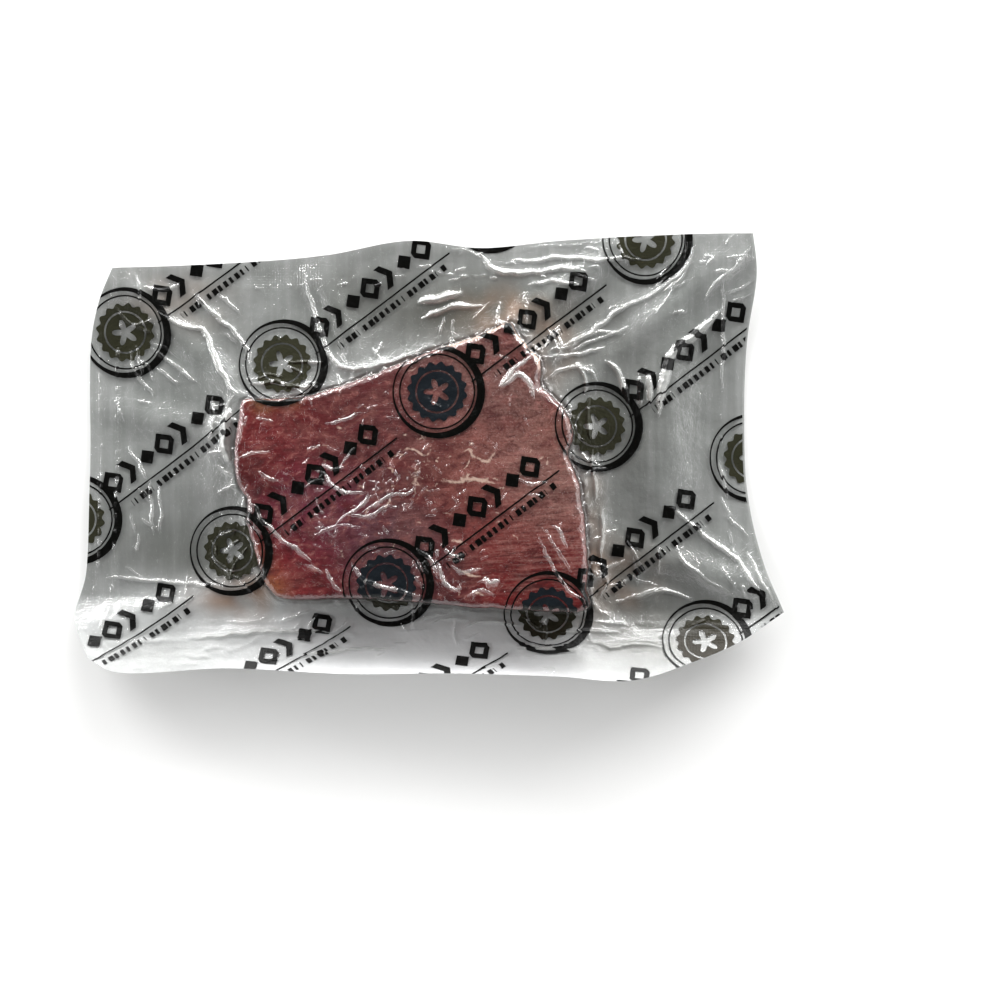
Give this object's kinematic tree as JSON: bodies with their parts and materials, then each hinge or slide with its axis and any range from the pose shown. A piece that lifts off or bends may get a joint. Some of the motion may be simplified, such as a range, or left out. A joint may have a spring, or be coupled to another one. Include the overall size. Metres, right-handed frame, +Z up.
{
  "type": "vacuum-packed sirloin steak",
  "caption": "Thick raw steak sealed in a clear printed vacuum pouch with wide flat film margins, lying flat with its near edge curled up.",
  "frame": {"origin": "middle of the pack's footprint, on the surface it lies on", "axes": "+X along the pouch's long side to the steak's wide end, +Y from the curled near edge to the far edge, +Z up through the printed side"},
  "size_m": [0.2186, 0.1368, 0.0235],
  "materials": {
    "film": "clear polyamide and polyethylene vacuum film, glossy and creased, grey where two films lie together",
    "print": "near-black translucent ink printed on the film",
    "meat": "moist raw beef, purplish red as it is under vacuum"
  },
  "bodies": {
    "root": {"vacuum_pack": "film"}
  },
  "joints": []
}
